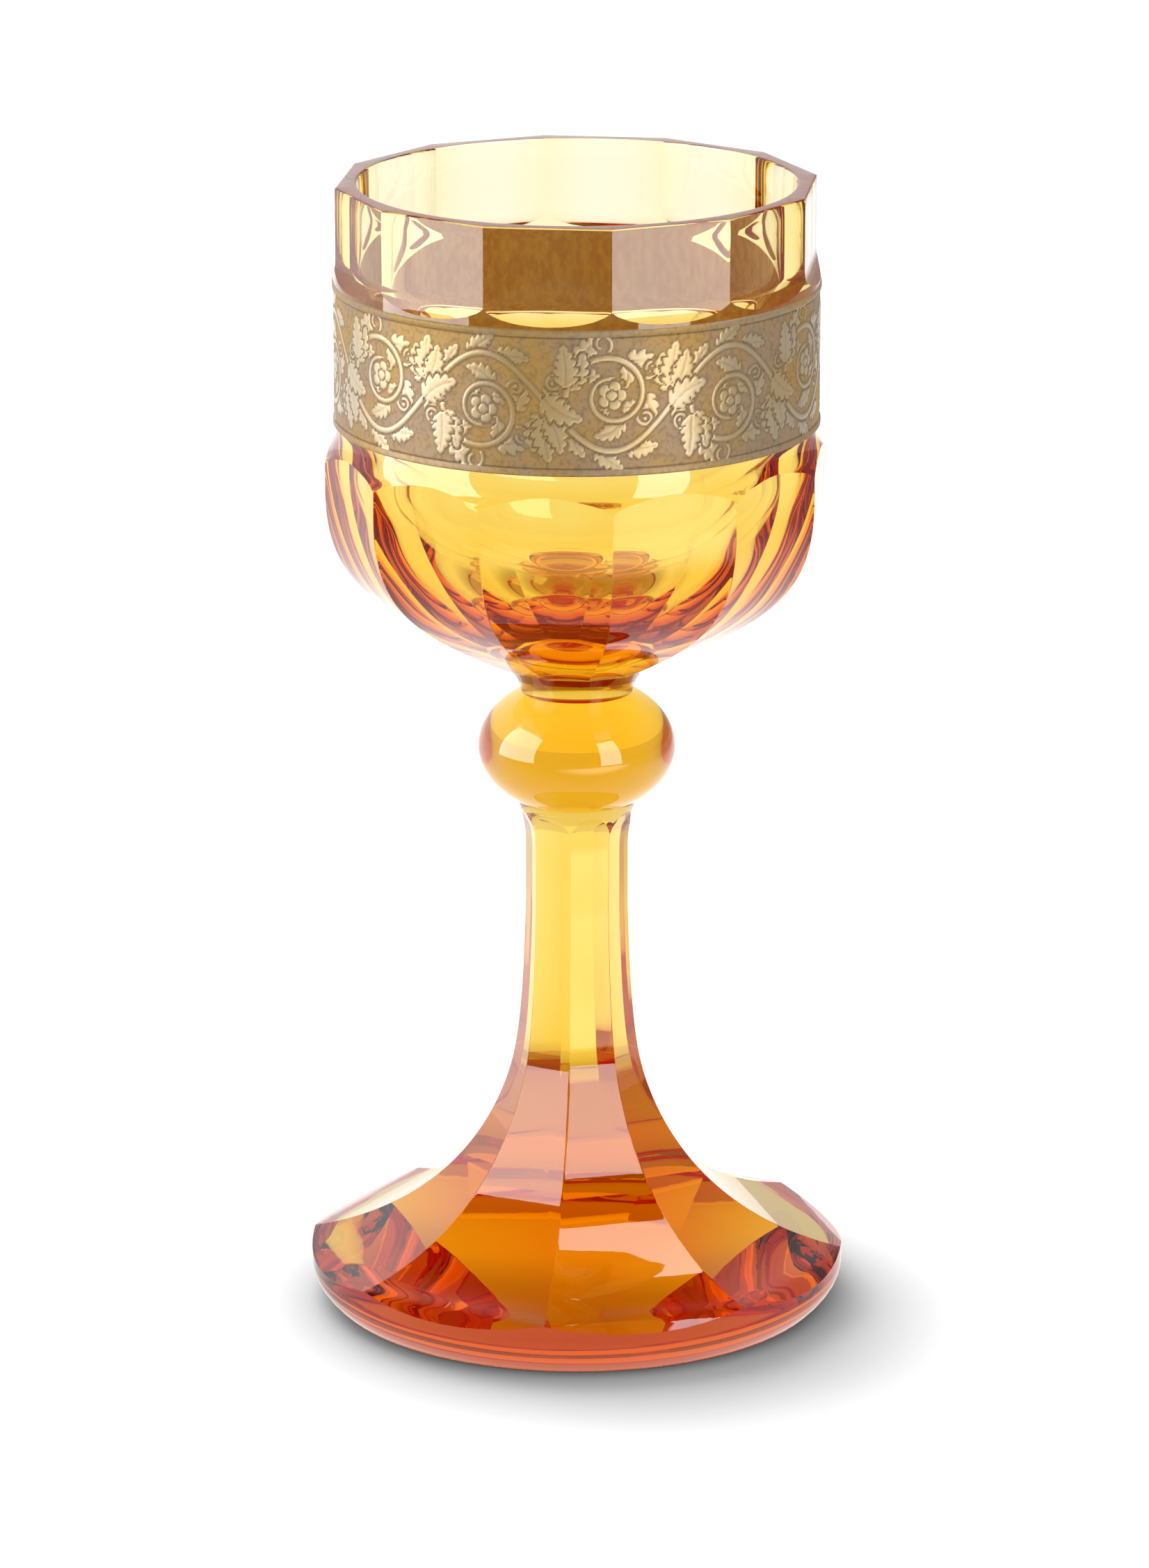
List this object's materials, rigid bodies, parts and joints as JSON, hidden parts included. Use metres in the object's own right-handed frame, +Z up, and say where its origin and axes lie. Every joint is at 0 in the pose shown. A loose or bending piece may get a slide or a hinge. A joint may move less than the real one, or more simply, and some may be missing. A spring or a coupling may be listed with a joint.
{
  "type": "goblet",
  "caption": "Stemmed amber cut-glass goblet: fluted bowl with a panelled rim and a gilt relief band, round knop, faceted stem and a spreading faceted foot.",
  "frame": {"origin": "middle of the foot's underside, where the goblet stands", "axes": "+Z up along the goblet's axis, -Y towards the viewer of the picture, +X to the viewer's right"},
  "size_m": [0.0892, 0.0892, 0.1899],
  "materials": {
    "amber_glass": "polished",
    "gilding": "satin"
  },
  "bodies": {
    "root": {"foot": "amber_glass", "stem": "amber_glass", "knop": "amber_glass", "merese": "amber_glass", "bowl": "amber_glass", "gilt_band": "gilding"}
  },
  "joints": []
}
